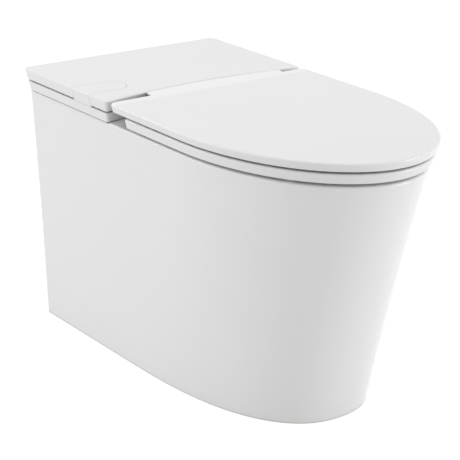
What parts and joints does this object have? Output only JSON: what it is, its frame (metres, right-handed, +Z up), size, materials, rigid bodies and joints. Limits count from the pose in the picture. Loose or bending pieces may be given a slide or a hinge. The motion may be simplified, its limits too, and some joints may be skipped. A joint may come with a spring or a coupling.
{
  "type": "tankless toilet",
  "caption": "Low floor-standing skirted toilet with no tank: flared china body, flat plastic deck with a side flush lever over the hidden flush works, thin closing lid and seat.",
  "frame": {"origin": "on the floor, under the middle of the whole toilet", "axes": "+Z up, +Y towards the wall behind the toilet, +X to the right of someone who faces the toilet"},
  "size_m": [0.395, 0.71, 0.45],
  "materials": {
    "china": "white vitreous glaze, glossy",
    "deck_plastic": "white moulded plastic, satin gloss",
    "seat_plastic": "white moulded plastic, satin gloss",
    "hinge_plastic": "off-white moulded plastic",
    "damper_plastic": "grey moulded plastic",
    "soft_rubber": "pale soft rubber",
    "foam": "dark closed-cell foam",
    "steel": "stainless steel",
    "brass": "turned brass",
    "valve_plastic": "natural moulded plastic",
    "coil_plastic": "black moulded plastic",
    "button_plastic": "red moulded plastic",
    "hose_rubber": "black rubber hose",
    "box_plastic": "grey moulded plastic",
    "board": "green solder mask"
  },
  "bodies": {
    "pan": {"china_skirt": "china", "china_bowl": "china", "china_sump": "china", "china_trapway": "china", "deck_base": "deck_plastic", "deck_cover": "deck_plastic", "hinge_posts": "hinge_plastic", "hinge_nuts": "hinge_plastic", "cover_grommets": "soft_rubber", "hinge_washers": "soft_rubber", "deck_gasket": "foam", "cover_studs": "steel", "deck_bolts": "steel", "deck_washers": "steel", "deck_nuts": "steel", "hinge_bolts": "steel", "hinge_shaft": "steel", "tongue_pin": "steel", "tongue_spring": "steel", "inlet_strainer": "steel", "hose_clamps": "steel", "control_screws": "steel", "inlet_fitting": "brass", "valve_manifold": "valve_plastic", "vacuum_breaker": "valve_plastic", "rim_nozzle": "valve_plastic", "jet_nozzle": "valve_plastic", "rim_solenoid": "coil_plastic", "jet_solenoid": "coil_plastic", "flush_switch": "coil_plastic", "power_inlet": "coil_plastic", "rim_hose": "hose_rubber", "jet_hose": "hose_rubber", "control_box": "box_plastic", "control_lid": "box_plastic", "circuit_board": "board"},
    "lid": {"lid": "seat_plastic", "lid_bumpers": "soft_rubber", "lid_damper": "damper_plastic", "lid_bush": "hinge_plastic"},
    "seat": {"seat": "seat_plastic", "seat_bumpers": "soft_rubber", "seat_damper": "damper_plastic", "seat_bush": "hinge_plastic"},
    "flush_lever": {"flush_tongue": "deck_plastic"},
    "switch_button": {"switch_plunger": "button_plastic"},
    "rim_core": {"rim_armature": "steel"},
    "jet_core": {"jet_armature": "steel"}
  },
  "joints": [
    {"name": "lid_hinge", "type": "hinge", "parent": "pan", "child": "lid", "pos_m": [0, 0.1, 0.441], "axis": [-1, 0, 0], "range_deg": [0, 95]},
    {"name": "seat_hinge", "type": "hinge", "parent": "pan", "child": "seat", "pos_m": [0, 0.1, 0.441], "axis": [-1, 0, 0], "range_deg": [0, 91.5]},
    {"name": "flush_press", "type": "hinge", "parent": "pan", "child": "flush_lever", "pos_m": [-0.176, 0.184, 0.443], "axis": [0, 1, 0], "range_deg": [0, 1.8], "stiffness_Nm_per_rad": 6, "deforming": ["tongue_spring"]},
    {"name": "switch_press", "type": "slide", "parent": "pan", "child": "switch_button", "axis": [0, 0, -1], "range_m": [0, 0.0006]},
    {"name": "rim_valve_lift", "type": "slide", "parent": "pan", "child": "rim_core", "axis": [0, 0, 1], "range_m": [0, 0.002], "stiffness_N_per_m": 300},
    {"name": "jet_valve_lift", "type": "slide", "parent": "pan", "child": "jet_core", "axis": [0, 0, 1], "range_m": [0, 0.002], "stiffness_N_per_m": 300}
  ],
  "couplings": [
    {"joint": "seat_hinge", "follows": "lid_hinge", "ratio": 0.96},
    {"joint": "switch_press", "follows": "flush_press", "m_per_rad": 0.018}
  ]
}
